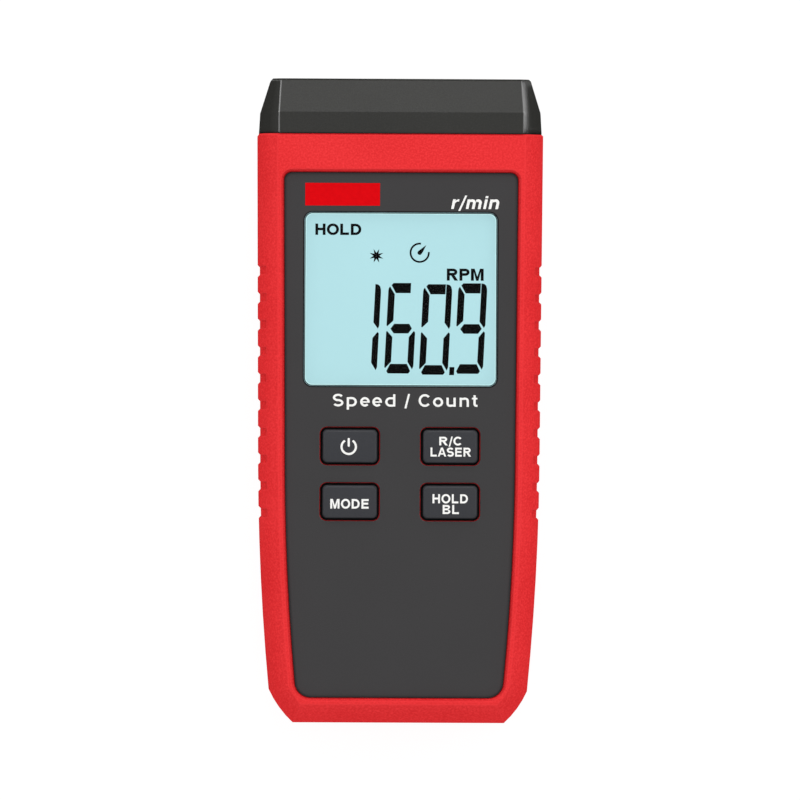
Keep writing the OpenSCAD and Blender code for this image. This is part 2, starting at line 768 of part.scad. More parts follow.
module controller_chip() {
    color("#202022") placed() translate([-chip_w / 2, window_y - chip_w / 2, board_z - seat - chip_t])
        cube([chip_w, chip_w, chip_t]);
}

// Keys

// Key cap with a rounded top, a flange that stops it under the shell, and a stem down to its dome.
module key(column, row) {
    top = [for (i = [0:arc_steps]) let (a = 90 * i / arc_steps)
        [key_top_z - key_edge + key_edge * sin(a), key_edge * (1 - cos(a))]];
    flange_low_z = key_flange_z - key_flange_t;
    stem_low_z = board_top_z + seat + dome_h + seat;
    color(dark_grey) placed() translate([column * key_pitch_x / 2, key_row_y[row], 0]) {
        skin(concat([rounded_ring(key_w, key_l, key_r, key_flange_z - bite)],
                    [for (s = top) rounded_ring(key_w - 2 * s[1], key_l - 2 * s[1], key_r, s[0])]));
        translate([0, 0, flange_low_z]) linear_extrude(key_flange_t)
            rounded_rect(key_w + 2 * (key_gap + key_flange_w), key_l + 2 * (key_gap + key_flange_w),
                         key_r + key_gap + key_flange_w);
        translate([0, 0, stem_low_z]) cylinder(r = key_stem_r, h = flange_low_z + bite - stem_low_z);
    }
}
module key_power() { key(-1, 0); }
module key_laser() { key(1, 0); }
module key_mode() { key(-1, 1); }
module key_hold() { key(1, 1); }

// Rubber dome: a base ring, a thin cone and a flat top with a contact pad inside.
module dome(column, row) {
    skin_t = 0.6;
    base_t = 0.8;
    base_w = 1;
    base_in = 1.4;
    crown_in = 0.2;
    pad_in = 0.5;
    pad_r = key_stem_r - pad_in;
    pad_gap = key_travel + fit;
    color("#c9cbc8") placed()
        translate([column * key_pitch_x / 2, key_row_y[row], board_top_z + seat]) rotate_extrude()
            polygon([[0, dome_h], [key_stem_r, dome_h], [dome_r - base_w, base_t], [dome_r, base_t],
                     [dome_r, 0], [dome_r - base_in, 0], [key_stem_r - crown_in, dome_h - skin_t],
                     [pad_r, dome_h - skin_t], [pad_r, pad_gap], [0, pad_gap]]);
}
module dome_power() { dome(-1, 0); }
module dome_laser() { dome(1, 0); }
module dome_mode() { dome(-1, 1); }
module dome_hold() { dome(1, 1); }

// Optics

// Brass barrel with a stepped nose, an aperture and a diode can at its back.
module laser_module() {
    r = laser_d / 2;
    can_l = 3;
    can_r = r - 0.6;
    nose_l = 1.5;
    nose_r = r - 0.5;
    aperture_r = 1.2;
    aperture_l = 5;
    color("#c9a24a") placed() translate([laser_x, laser_y, axis_z]) along_y() rotate_extrude()
        polygon([[0, 0], [can_r, 0], [can_r, can_l], [r, can_l], [r, laser_l - nose_l], [nose_r, laser_l],
                 [aperture_r, laser_l], [aperture_r, laser_l - aperture_l], [0, laser_l - aperture_l]]);
}

module laser_window() {
    color("#7d2024", 0.6) placed() translate([laser_x, overall_l - laser_window_t, axis_z]) along_y()
        cylinder(d = laser_window_d, h = laser_window_t - fit);
}

// Plano-convex lens: a flat back and rim, and a dome of spherical form.
module receiver_lens() {
    dome_rise = 0.9;
    rim_t = lens_seat - dome_rise - 2 * fit;
    r = lens_d / 2;
    sphere_r = (r * r + dome_rise * dome_rise) / (2 * dome_rise);
    color("#3a2b30", 0.6) placed() translate([receiver_x, overall_l - lens_seat + seat, axis_z]) along_y()
        rotate_extrude() polygon(concat(
            [[0, 0], [r, 0]],
            [for (i = [0:arc_steps]) let (x = r * (1 - i / arc_steps))
                [x, rim_t + sqrt(sphere_r * sphere_r - x * x) - sphere_r + dome_rise]]));
}

// Receiver: a round body with a flange and a domed nose.
module photo_sensor() {
    r = sensor_d / 2;
    flange_r = r + 0.5;
    color("#2a2a30") placed() translate([receiver_x, holder_y - sensor_flange_t - seat, axis_z]) along_y()
        rotate_extrude() polygon(concat(
            [[0, 0], [flange_r, 0], [flange_r, sensor_flange_t], [r, sensor_flange_t]],
            [for (i = [0:arc_steps]) let (a = 90 * i / arc_steps)
                [r * cos(a), sensor_flange_t + sensor_l - r + r * sin(a)]]));
}

// Block with a bore for the laser barrel and a stepped bore for the receiver.
module optics_holder() {
    side = 2.2;
    x0 = laser_x - laser_d / 2 - side;
    x1 = receiver_x + sensor_d / 2 + side;
    color("#2b2b2c") placed() difference() {
        translate([x0, holder_y, axis_z - holder_h / 2]) cube([x1 - x0, holder_l, holder_h]);
        translate([laser_x, holder_y - past, axis_z]) along_y()
            cylinder(d = laser_d + fit, h = holder_l + 2 * past);
        translate([receiver_x, holder_y - past, axis_z]) along_y()
            cylinder(d = sensor_d + fit, h = holder_l + 2 * past);
    }
}

// Battery

// Cell with its terminal towards +Y, or turned round.
module cell(place, up) {
    tip_h = 0.8;
    tip_r = 2.75;
    shoulder = 0.5;
    r = cell_d / 2;
    low_y = bay_y + contact_t + fit / 2 + (up ? spring_l : 0);
    color("#c8a24e") placed()
        translate([place * cell_pitch, up ? low_y : low_y + cell_l, cell_axis_z])
            rotate([up ? -90 : 90, 0, 0]) rotate_extrude()
                polygon([[0, 0], [r - shoulder, 0], [r, shoulder],
                         [r, cell_l - tip_h - shoulder], [r - shoulder, cell_l - tip_h],
                         [tip_r, cell_l - tip_h], [tip_r, cell_l], [0, cell_l]]);
}
module cell_left() { cell(-1, true); }
module cell_middle() { cell(0, false); }
module cell_right() { cell(1, true); }

// Conical wire spring from its contact plate to the cell's flat end.
function spring_centre(t) =
    let (a = 360 * spring_turns * t,
         r = lerp(spring_big_r, spring_small_r, t),
         w = spring_wire / 2 + seat / 2)
    [r * cos(a), r * sin(a), lerp(w, spring_l - w, t)];
function spring_ring(t) =
    let (a = 360 * spring_turns * t, c = spring_centre(t))
    [for (k = [0:spring_sides - 1]) let (b = -360 * k / spring_sides)
        c + spring_wire / 2 * [cos(a) * cos(b), sin(a) * cos(b), sin(b)]];
module battery_spring(place, up) {
    count = spring_turns * spring_rings_per_turn;
    low_y = bay_y + contact_t;
    high_y = bay_y + bay_l - contact_t;
    color(steel) placed()
        translate([place * cell_pitch, up ? low_y : high_y, cell_axis_z]) rotate([up ? -90 : 90, 0, 0])
            skin([for (i = [0:count]) spring_ring(i / count)]);
}
module spring_left() { battery_spring(-1, true); }
module spring_middle() { battery_spring(0, false); }
module spring_right() { battery_spring(1, true); }

// Flat contact plate on an end wall of the bay, over one cell or two.
module contact_plate(first, last, top) {
    half = 4.6;
    margin = 0.6;
    plate_h = cell_d - 2 * margin;
    y = top ? bay_y + bay_l - contact_t - seat / 2 : bay_y + seat / 2;
    color(steel) placed() translate([first * cell_pitch - half, y, cell_axis_z - plate_h / 2])
        cube([(last - first) * cell_pitch + 2 * half, contact_t - seat / 2, plate_h]);
}
module contact_foot_pair() { contact_plate(-1, 0, false); }
module contact_foot_single() { contact_plate(1, 1, false); }
module contact_top_single() { contact_plate(-1, -1, true); }
module contact_top_pair() { contact_plate(0, 1, true); }

// Fasteners

// Pan-head screw that stands on its head, with a cross recess.
module screw(head_r, head_h, shank_r, shank_l) {
    slot_w = head_r * 0.3;
    slot_l = head_r * 1.2;
    difference() {
        union() {
            cylinder(r = head_r, h = head_h);
            translate([0, 0, head_h - bite]) cylinder(r = shank_r, h = shank_l + bite);
        }
        for (turn = [0, 90]) rotate([0, 0, turn])
            translate([-slot_l / 2, -slot_w / 2, -past]) cube([slot_l, slot_w, past + head_h / 2]);
    }
}
module case_screws() {
    color(steel) placed() at_both_sides(case_screw_at)
        translate([0, 0, case_well - seat])
            screw(case_head_d / 2, case_head_h, case_screw_d / 2, case_screw_l);
}
module board_screws() {
    color(steel) placed() at_both_sides(board_post_at)
        translate([0, 0, board_z - board_head_h - seat])
            screw(board_head_r, board_head_h, board_screw_d / 2, board_screw_l);
}

front_shell();
rear_shell();
end_cap();
face_plate();
lcd_window();
lcd_glass();
lcd_holder();
lcd_backlight();
zebra_strip_upper();
zebra_strip_lower();
main_board();
controller_chip();
key_power();
key_laser();
key_mode();
key_hold();
dome_power();
dome_laser();
dome_mode();
dome_hold();
laser_module();
laser_window();
receiver_lens();
photo_sensor();
optics_holder();
battery_cover();
cell_left();
cell_middle();
cell_right();
spring_left();
spring_middle();
spring_right();
contact_foot_pair();
contact_foot_single();
contact_top_single();
contact_top_pair();
case_screws();
board_screws();
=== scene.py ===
"""Handheld laser tachometer lying on its back on a white studio table, seen from straight above.

Lengths in the code are millimetres unless a name ends in _m; meshes are written in metres.
"""
import math

import bpy
import numpy as np
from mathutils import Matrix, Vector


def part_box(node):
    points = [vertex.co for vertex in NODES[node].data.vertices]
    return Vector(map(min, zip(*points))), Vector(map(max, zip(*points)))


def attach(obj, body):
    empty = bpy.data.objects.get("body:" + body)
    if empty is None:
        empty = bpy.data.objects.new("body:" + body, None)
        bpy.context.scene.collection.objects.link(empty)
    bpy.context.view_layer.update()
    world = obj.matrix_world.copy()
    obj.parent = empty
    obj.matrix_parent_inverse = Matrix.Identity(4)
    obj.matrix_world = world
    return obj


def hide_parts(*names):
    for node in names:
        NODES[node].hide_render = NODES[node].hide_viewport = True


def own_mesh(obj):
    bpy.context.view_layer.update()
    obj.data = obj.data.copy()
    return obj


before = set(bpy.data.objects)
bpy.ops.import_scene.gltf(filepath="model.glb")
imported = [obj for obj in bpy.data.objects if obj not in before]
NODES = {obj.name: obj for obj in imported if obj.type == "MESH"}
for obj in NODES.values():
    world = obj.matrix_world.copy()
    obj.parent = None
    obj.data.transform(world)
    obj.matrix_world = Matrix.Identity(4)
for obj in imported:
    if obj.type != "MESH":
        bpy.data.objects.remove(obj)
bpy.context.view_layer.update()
MM = 0.001


# Places on the meter, taken from the solids so that a print stays on what carries it

def node_box(name):
    """Lowest and highest corner of a CAD node, in millimetres."""
    low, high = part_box(name)
    return np.array(low) / MM, np.array(high) / MM


def middle(name):
    """Centre of a CAD node's box, in millimetres."""
    low, high = node_box(name)
    return (low + high) / 2


PLATE_TOP_Z = node_box("face_plate")[1][2]
DISPLAY_TOP_Z = node_box("lcd_glass")[1][2]
WINDOW_TOP_Z = node_box("lcd_window")[1][2]
KEY_TOP_Z = node_box("key_mode")[1][2]
# The window's flange lies a seating gap under the plate, and the rest of it fills the plate's opening
WINDOW_FLANGE = 1.2
WINDOW_SEAT = 0.05
WINDOW_FLANGE_Z = node_box("face_plate")[0][2] - WINDOW_SEAT
WINDOW_R = 1.65
WINDOW_MID = middle("lcd_window")[:2]
WINDOW_HALF = (node_box("lcd_window")[1] - node_box("lcd_window")[0])[:2] / 2 - WINDOW_FLANGE
# Thickness of a print, and the step that keeps two faces from lying in one plane
INK_T = 0.02
INK_GAP = 0.002


# Materials

def linear(hex_colour):
    """Linear RGBA of an sRGB hex colour."""
    s = np.array([int(hex_colour[i:i + 2], 16) for i in (1, 3, 5)]) / 255
    rgb = np.where(s <= 0.04045, s / 12.92, ((s + 0.055) / 1.055) ** 2.4)
    return (*rgb.tolist(), 1.0)


def add(tree, kind, settings=(), links=()):
    """One shader node: settings go to its sockets or attributes, links join a source to its sockets."""
    node = tree.nodes.new(kind)
    for key, value in dict(settings).items():
        if isinstance(key, int) or key in node.inputs:
            node.inputs[key].default_value = value
        else:
            setattr(node, key, value)
    for key, source in dict(links).items():
        tree.links.new(source, node.inputs[key])
    return node


def new_material(name, settings):
    """An empty node material with one Principled shader, whose fixed values are set on its sockets."""
    material = bpy.data.materials.new(name)
    material.use_nodes = True
    tree = material.node_tree
    tree.nodes.clear()
    shader = add(tree, "ShaderNodeBsdfPrincipled", settings)
    add(tree, "ShaderNodeOutputMaterial", links={"Surface": shader.outputs["BSDF"]})
    return material, tree, shader


def per_metre(size_mm):
    """Texture scale at which one feature measures size_mm."""
    return 1 / (size_mm * MM)


# Sizes in mm that all moulded skins share
FLOW_CLOUD = 14
EDGE_ROUND = 0.4
CORNER_REACH = 0.8


def moulded_abs(name, dark, light, edge, crevice_shade, grain, rough, sheen,
                highlit_edges=(-1.0, 0.0, 9.0, EDGE_ROUND), inside=99, floor=-99):
    """Moulded ABS with a spark-eroded skin: fine grain in colour, gloss and height, and painted highlights on
    its edges.

    The eye sees a soft sheen that breaks up into tiny bright and dark points, faint flow clouds under it,
    a thin lighter line along the edges, which is a painted highlight, and a deeper tone in grooves and
    corners, which is painted shade. The sheen is a thin coat on level faces; steep walls have none. grain is
    the
    size and the depth of the grain in mm. The tuple of highlit edges picks the edges with a painted
    highlight:
    the least sideways lean of their rounded normal, the lengthwise lean that is lit most, the spread of that
    lean, and the width in mm of the highlight strip on faces that look right. The painted corner shade is
    laid only within inside mm of the middle plane, and less below floor mm.
    """
    material, tree, shader = new_material(name, {"Specular IOR Level": 0.0, "Coat Roughness": rough})
    place = add(tree, "ShaderNodeTexCoord").outputs["Object"]
    points = add(tree, "ShaderNodeTexNoise", {"Scale": per_metre(grain[0]), "Detail": 2.0, "Roughness": 0.6},
                 {"Vector": place}).outputs["Fac"]
    cloud = add(tree, "ShaderNodeTexNoise", {"Scale": per_metre(FLOW_CLOUD), "Detail": 1.0},
                {"Vector": place}).outputs["Fac"]
    speck = add(tree, "ShaderNodeMapRange", {"From Min": 0.40, "From Max": 0.72, "To Max": 0.65},
                {"Value": points}).outputs["Result"]
    tone = add(tree, "ShaderNodeMath", {"operation": "MULTIPLY_ADD", 1: 0.35},
               {0: cloud, 2: speck}).outputs[0]
    skin = add(tree, "ShaderNodeMix", {"data_type": "RGBA", 6: linear(dark), 7: linear(light)},
               {0: tone}).outputs[2]

    flat = add(tree, "ShaderNodeNewGeometry").outputs["Normal"]
    facing = add(tree, "ShaderNodeSeparateXYZ", links={0: flat}).outputs
    # Painted highlight: the edge colour is laid in a strip along the rounded edges, wider on faces that look
    # right
    strip = add(tree, "ShaderNodeMapRange",
                {"From Min": 0.3, "From Max": 0.5, "To Min": EDGE_ROUND * MM, "To Max": highlit_edges[3] * MM},
                {"Value": facing["X"]}).outputs["Result"]
    round_edge = add(tree, "ShaderNodeBevel", {"samples": 6}, {"Radius": strip}).outputs["Normal"]
    bend = add(tree, "ShaderNodeVectorMath", {"operation": "DOT_PRODUCT"},
               {0: round_edge, 1: flat}).outputs["Value"]
    edge_highlight = add(tree, "ShaderNodeMapRange", {"From Min": 0.992, "From Max": 0.975},
                 {"Value": bend}).outputs["Result"]
    lean = add(tree, "ShaderNodeSeparateXYZ", links={0: round_edge}).outputs
    sideways = add(tree, "ShaderNodeMath", {"operation": "ABSOLUTE"}, {0: lean["X"]}).outputs[0]
    edge_highlight = add(tree, "ShaderNodeMapRange", {"From Min": highlit_edges[0], "From Max": highlit_edges[0] + 0.14},
                 {"Value": sideways, "To Max": edge_highlight}).outputs["Result"]
    lengthwise = add(tree, "ShaderNodeMath", {"operation": "SUBTRACT", 1: highlit_edges[1]}, {0: lean["Y"]}).outputs[0]
    lengthwise = add(tree, "ShaderNodeMath", {"operation": "ABSOLUTE"}, {0: lengthwise}).outputs[0]
    edge_highlight = add(tree, "ShaderNodeMapRange", {"From Min": highlit_edges[2], "From Max": 0.15 * highlit_edges[2]},
                 {"Value": lengthwise, "To Max": edge_highlight}).outputs["Result"]
    skin = add(tree, "ShaderNodeMix", {"data_type": "RGBA", 7: linear(edge)},
               {0: edge_highlight, 6: skin}).outputs[2]

    # Painted shade: the shade colour is laid where ambient occlusion finds walls close by, in grooves and
    # corners
    open_sky = add(tree, "ShaderNodeAmbientOcclusion",
                   {"samples": 8, "Distance": CORNER_REACH * MM}).outputs["AO"]
    corner_shade = add(tree, "ShaderNodeMapRange", {"From Min": 0.96, "From Max": 0.84},
               {"Value": open_sky}).outputs["Result"]
    point = add(tree, "ShaderNodeSeparateXYZ", links={0: place}).outputs
    away = add(tree, "ShaderNodeMath", {"operation": "ABSOLUTE"}, {0: point["X"]}).outputs[0]
    corner_shade = add(tree, "ShaderNodeMapRange", {"From Min": inside * MM, "From Max": (inside - 1) * MM},
               {"Value": away, "To Max": corner_shade}).outputs["Result"]
    above = add(tree, "ShaderNodeMapRange",
                {"From Min": (floor - 0.2) * MM, "From Max": floor * MM, "To Min": 0.35},
                {"Value": point["Z"]}).outputs["Result"]
    corner_shade = add(tree, "ShaderNodeMath", {"operation": "MULTIPLY"}, {0: corner_shade, 1: above}).outputs[0]
    skin = add(tree, "ShaderNodeMix", {"data_type": "RGBA", 7: linear(crevice_shade)},
               {0: corner_shade, 6: skin}).outputs[2]
    tree.links.new(skin, shader.inputs["Base Color"])

    level = add(tree, "ShaderNodeMath", {"operation": "ABSOLUTE"}, {0: facing["Z"]}).outputs[0]
    satin = add(tree, "ShaderNodeMapRange", {"From Min": 0.66, "From Max": 0.9, "To Max": sheen},
                {"Value": level})
    tree.links.new(satin.outputs["Result"], shader.inputs["Coat Weight"])
    gloss = add(tree, "ShaderNodeMapRange",
                {"From Min": 0.3, "From Max": 0.7, "To Min": rough - 0.07, "To Max": rough + 0.07},
                {"Value": points})
    tree.links.new(gloss.outputs["Result"], shader.inputs["Roughness"])
    bump = add(tree, "ShaderNodeBump", {"Distance": grain[1] * MM}, {"Height": points, "Normal": round_edge})
    tree.links.new(bump.outputs["Normal"], shader.inputs["Normal"])
    return material


def plain_surface(name, dark, light, cloud_mm, rough, depth_mm=0.0, settings=()):
    """A surface whose colour wanders between two tones, with bump of the same pattern where it has depth."""
    material, tree, shader = new_material(name, {"Roughness": rough, **dict(settings)})
    place = add(tree, "ShaderNodeTexCoord").outputs["Object"]
    cloud = add(tree, "ShaderNodeTexNoise", {"Scale": per_metre(cloud_mm), "Detail": 3.0},
                {"Vector": place}).outputs["Fac"]
    spread = add(tree, "ShaderNodeMapRange", {"From Min": 0.3, "From Max": 0.7},
                 {"Value": cloud}).outputs["Result"]
    colour = add(tree, "ShaderNodeMix", {"data_type": "RGBA", 6: linear(dark), 7: linear(light)},
                 {0: spread}).outputs[2]
    tree.links.new(colour, shader.inputs["Base Color"])
    if depth_mm:
        bump = add(tree, "ShaderNodeBump", {"Distance": depth_mm * MM}, {"Height": cloud})
        tree.links.new(bump.outputs["Normal"], shader.inputs["Normal"])
    return material


def brushed_metal(name, dark, light, line_mm, rough, direction):
    """Drawn or turned metal: fine lines across one axis in colour and height."""
    material, tree, shader = new_material(name, {"Metallic": 1.0, "Roughness": rough})
    place = add(tree, "ShaderNodeTexCoord").outputs["Object"]
    stretch = add(tree, "ShaderNodeMapping", {"Scale": direction}, {"Vector": place}).outputs["Vector"]
    lines = add(tree, "ShaderNodeTexNoise", {"Scale": per_metre(line_mm), "Detail": 2.0},
                {"Vector": stretch}).outputs["Fac"]
    colour = add(tree, "ShaderNodeMix", {"data_type": "RGBA", 6: linear(dark), 7: linear(light)},
                 {0: lines}).outputs[2]
    tree.links.new(colour, shader.inputs["Base Color"])
    bump = add(tree, "ShaderNodeBump", {"Distance": 0.004 * MM}, {"Height": lines})
    tree.links.new(bump.outputs["Normal"], shader.inputs["Normal"])
    return material


# Ink and print that show almost no gloss
MATT = {"Specular IOR Level": 0.05}

# Injection-moulded skins. Their grain is drawn 0.2 to 0.4 mm wide, a little coarser than a real spark finish,
# so that it shows. The red shells are rough and warm, with painted deep red shade in the corners round the
# plate and a faint painted highlight on their edges
RED_ABS = moulded_abs(
    "red ABS, spark-eroded", dark="#d8282b", light="#f43d40", edge="#ec393c", crevice_shade="#8c090c",
    grain=(0.40, 0.030), rough=0.50, sheen=0.1, inside=25.6, floor=PLATE_TOP_Z)
# The cap has a satin skin, and its long edges carry pale lines of painted highlight, broad on the right
CAP_ABS = moulded_abs(
    "dark grey ABS, spark-eroded", dark="#2c2c2a", light="#363634", edge="#b4b4b4", crevice_shade="#191918",
    grain=(0.26, 0.016), rough=0.38, sheen=0.37, highlit_edges=(0.06, 0.22, 0.36, 2.2))
# The keys are a little bluer and finer, with painted soft grey highlights on their edges and painted shade in
# their corners
KEY_ABS = moulded_abs(
    "dark grey ABS, fine matt", dark="#333438", light="#3b3c40", edge="#4c4d50", crevice_shade="#141416",
    grain=(0.22, 0.010), rough=0.45, sheen=0.4)
# The plate is printed film: almost smooth, with a broad dull sheen, painted highlights on its edges and
# painted shade in its corners
PLATE_FILM = moulded_abs(
    "polycarbonate film, printed matt grey", dark="#363536", light="#3e3d3e", edge="#4a494a",
    crevice_shade="#1d1c1d", grain=(0.20, 0.004), rough=0.55, sheen=0.4)

# Display and window: an even pale painted glow behind dark segments, under a clear sheet with a painted
# highlight on its chamfer
# The display's glow is painted light, as if its backlight were on; it keeps the window's shade off the
# display
DISPLAY = plain_surface("display glass with painted backlight glow", "#5f777a", "#657d80", 18, 0.5,
                        settings={"Emission Color": linear("#b6e4ea"), "Emission Strength": 1.0,
                                  "Specular IOR Level": 0.1})
SEGMENT_INK = plain_surface("dark liquid crystal segments", "#020203", "#060607", 2, 0.6, settings=MATT)
WINDOW_CLEAR = plain_surface("clear acrylic window", "#0a0c0c", "#101212", 25, 0.08,
                             settings={"Alpha": 0.1, "Specular IOR Level": 0.3})
# The chamfer's pale colour and glow are a painted highlight
WINDOW_EDGE_HIGHLIGHT = plain_surface("acrylic chamfer with painted highlight", "#8fb4b7", "#9bc0c2", 6, 0.3,
                            settings={"Emission Color": linear("#c8f2f2"), "Emission Strength": 0.4})
# Black print on the window's hidden flange, and dark lines of painted shade round the window opening
WINDOW_PRINT_AND_SHADE = plain_surface("black print and painted shade round the window", "#0c0709", "#120b0e", 3, 0.6, settings=MATT)

# Screen prints: opaque ink with a faint mottle from the mesh
WHITE_INK = plain_surface("screen-printed white ink", "#ecece9", "#f8f8f6", 0.6, 0.55, 0.004)
BADGE_INK = plain_surface("screen-printed red ink", "#d2000a", "#da020c", 0.8, 0.5, 0.004, MATT)

# Optics in the end cap: dark glass with a sharp coated gloss, and the parts behind it
RED_GLASS = plain_surface("red filter glass", "#3d0507", "#5a0b0e", 8, 0.05,
                          settings={"Coat Weight": 0.6, "Coat Roughness": 0.03})
LENS_GLASS = plain_surface("infrared filter lens", "#150d12", "#241820", 10, 0.04,
                           settings={"Coat Weight": 0.8, "Coat Roughness": 0.02})
SENSOR = plain_surface("dark epoxy sensor", "#1a1a20", "#26262d", 3, 0.2)
BLACK_PLASTIC = plain_surface("black ABS block", "#202021", "#2b2b2c", 0.8, 0.55, 0.015)
LASER_BRASS = brushed_metal("turned brass", "#a8842f", "#d0ac58", 0.25, 0.3, (0.2, 1, 0.2))

# Parts inside: matt mouldings and rubber, a board under cloudy green mask, and bright plated steel
WHITE_PLASTIC = plain_surface("white ABS frame", "#dcdcd6", "#e8e8e2", 4, 0.5, 0.01)
LIGHT_BOX = plain_surface("diffusing acrylic light box", "#eef0ea", "#f8faf4", 8, 0.4)
ZEBRA_RUBBER = plain_surface("layered contact rubber", "#8a5a44", "#d9b9a6", 0.4, 0.75, 0.01)
BOARD = plain_surface("glass-epoxy board, green mask", "#0f4a26", "#1f7a44", 2.4, 0.38, 0.02)
CHIP = plain_surface("black moulding compound", "#161617", "#212123", 0.5, 0.6, 0.01)
DOME_RUBBER = plain_surface("silicone rubber", "#b8bab7", "#cfd1ce", 3, 0.7, 0.01)
CELL_WRAP = plain_surface("printed cell wrap", "#3f4a55", "#56626e", 30, 0.3)
CONTACT_STEEL = brushed_metal("nickel-plated spring steel", "#9a9ca0", "#c4c6ca", 0.3, 0.28, (1, 1, 0.1))
SCREW_STEEL = brushed_metal("zinc-plated screw steel", "#7f8184", "#a6a8ab", 0.2, 0.35, (1, 0.15, 1))

NODE_FINISH = {
    "front_shell": RED_ABS, "rear_shell": RED_ABS, "end_cap": CAP_ABS, "battery_cover": CAP_ABS,
    "face_plate": PLATE_FILM, "lcd_window": WINDOW_CLEAR, "lcd_glass": DISPLAY, "lcd_holder": WHITE_PLASTIC,
    "lcd_backlight": LIGHT_BOX, "zebra_strip_upper": ZEBRA_RUBBER, "zebra_strip_lower": ZEBRA_RUBBER,
    "main_board": BOARD, "controller_chip": CHIP, "laser_module": LASER_BRASS, "laser_window": RED_GLASS,
    "receiver_lens": LENS_GLASS, "photo_sensor": SENSOR, "optics_holder": BLACK_PLASTIC,
    "case_screws": SCREW_STEEL, "board_screws": SCREW_STEEL,
    **{name: KEY_ABS for name in NODES if name.startswith("key_")},
    **{name: DOME_RUBBER for name in NODES if name.startswith("dome_")},
    **{name: CELL_WRAP for name in NODES if name.startswith("cell_")},
    **{name: CONTACT_STEEL for name in NODES if name.startswith(("spring_", "contact_"))},
}


def smooth_by_angle(crisp_deg):
    """Modifier group that shades every face smooth and keeps edges sharper than an angle crisp."""
    group = bpy.data.node_groups.new("smooth_by_angle", "GeometryNodeTree")
    group.interface.new_socket("Geometry", in_out="INPUT", socket_type="NodeSocketGeometry")
    group.interface.new_socket("Geometry", in_out="OUTPUT", socket_type="NodeSocketGeometry")
    source = add(group, "NodeGroupInput")
    angle = add(group, "GeometryNodeInputMeshEdgeAngle")
    sharp = add(group, "FunctionNodeCompare", {"operation": "GREATER_THAN", 1: math.radians(crisp_deg)},
                {0: angle.outputs["Unsigned Angle"]})
    faces = add(group, "GeometryNodeSetShadeSmooth", {"domain": "FACE"}, {0: source.outputs[0]})
    edges = add(group, "GeometryNodeSetShadeSmooth", {"domain": "EDGE", "Shade Smooth": False},
                {0: faces.outputs[0], "Selection": sharp.outputs[0]})
    add(group, "NodeGroupOutput", links={0: edges.outputs[0]})
    return group


# The end cap keeps the shallow crease where its taper starts
SMOOTH = smooth_by_angle(24)
SMOOTH_CAP = smooth_by_angle(13)
WELD_REACH = 0.002


def shade_smooth(piece, smooth):
    """Modifiers that join a mesh's loose triangles and shade it smooth between its crisp edges."""
    weld = piece.modifiers.new("weld", "WELD")
    weld.merge_threshold = WELD_REACH * MM
    shade = piece.modifiers.new("smooth", "NODES")
    shade.node_group = smooth


for name, piece in NODES.items():
    piece.data.materials.clear()
    piece.data.materials.append(NODE_FINISH[name])
    shade_smooth(piece, SMOOTH_CAP if name == "end_cap" else SMOOTH)


# Outlines and thin solids

def finish_piece(name, vertices, faces, material, body, slot):
    """Mesh object at the origin from vertices in millimetres; it rides on a body. The slot argument is not
    used.
    """
    mesh = bpy.data.meshes.new(name)
    mesh.from_pydata((np.asarray(vertices) * MM).tolist(), [], [list(map(int, face)) for face in faces])
    mesh.materials.append(material)
    mesh.validate()
    mesh.update()
    piece = bpy.data.objects.new(name, mesh)
    bpy.context.scene.collection.objects.link(piece)
    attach(piece, body)
    return piece


def prisms(outlines, z, thickness=INK_T):
    """Thin solids over closed outlines: each outline at two heights, with caps and one wall quad per edge.

    Every second outline stands a little higher, so that strokes that touch share no top face.
    """
    vertices, faces, start = [], [], 0
    for k, outline in enumerate(outlines):
        flat = np.asarray(outline, float)
        if np.sum(flat[:, 0] * np.roll(flat[:, 1], -1) - np.roll(flat[:, 0], -1) * flat[:, 1]) < 0:
            flat = flat[::-1]
        n = len(flat)
        low = np.column_stack([flat, np.full(n, z)])
        vertices += [low, low + [0, 0, thickness + k % 2 * INK_GAP]]
        ring = np.arange(n)
        ahead = np.roll(ring, -1)
        faces += [start + ring[::-1], start + n + ring]
        faces += list(start + np.column_stack([ring, ahead, n + ahead, n + ring]))
        start += 2 * n
    return np.vstack(vertices), faces


def arc(centre, radii, first_deg, last_deg, steps=15):
    """Points on an ellipse from one angle to another."""
    a = np.radians(np.linspace(first_deg, last_deg, steps))
    return np.asarray(centre) + np.column_stack([np.cos(a), np.sin(a)]) * radii


def stroke(path, width):
    """Outline of a line of even width along a path: each point moved both ways along its mitre."""
    path = np.asarray(path, float)
    way = np.diff(path, axis=0)
    way /= np.linalg.norm(way, axis=1)[:, None]
    normal = way[:, ::-1] * [-1, 1]
    before, after = np.vstack([normal[:1], normal]), np.vstack([normal, normal[-1:]])
    shift = (before + after) / (1 + np.sum(before * after, axis=1))[:, None] * width / 2
    return np.vstack([path + shift, (path - shift)[::-1]])


def bar(first, last, width, steps=9):
    """Outline of a straight stroke with round ends between two points."""
    first, last = np.asarray(first, float), np.asarray(last, float)
    turn = math.degrees(math.atan2(*(last - first)[::-1]))
    cap = arc((0, 0), width / 2, turn - 90, turn + 90, steps)
    return np.vstack([last + cap, first - cap])


def block(x0, x1, y0, y1):
    """Outline of an upright rectangle."""
    return [(x0, y0), (x1, y0), (x1, y1), (x0, y1)]


def bowl(start_x, right_x, low, high, turn_x, w, foot_w=None, head_w=None):
    """A letter's bowl: rails out of the stem joined by half an ellipse, less a smaller one of that form."""
    in_low, in_high = low + (foot_w or w), high - (head_w or w)
    outer = arc((turn_x, (low + high) / 2), (right_x - turn_x, (high - low) / 2), 90, -90)
    inner = arc((turn_x, (in_low + in_high) / 2), (right_x - w - turn_x, (in_high - in_low) / 2), -90, 90)
    return np.vstack([(start_x, high), outer, (start_x, low), (start_x, in_low), inner, (start_x, in_high)])


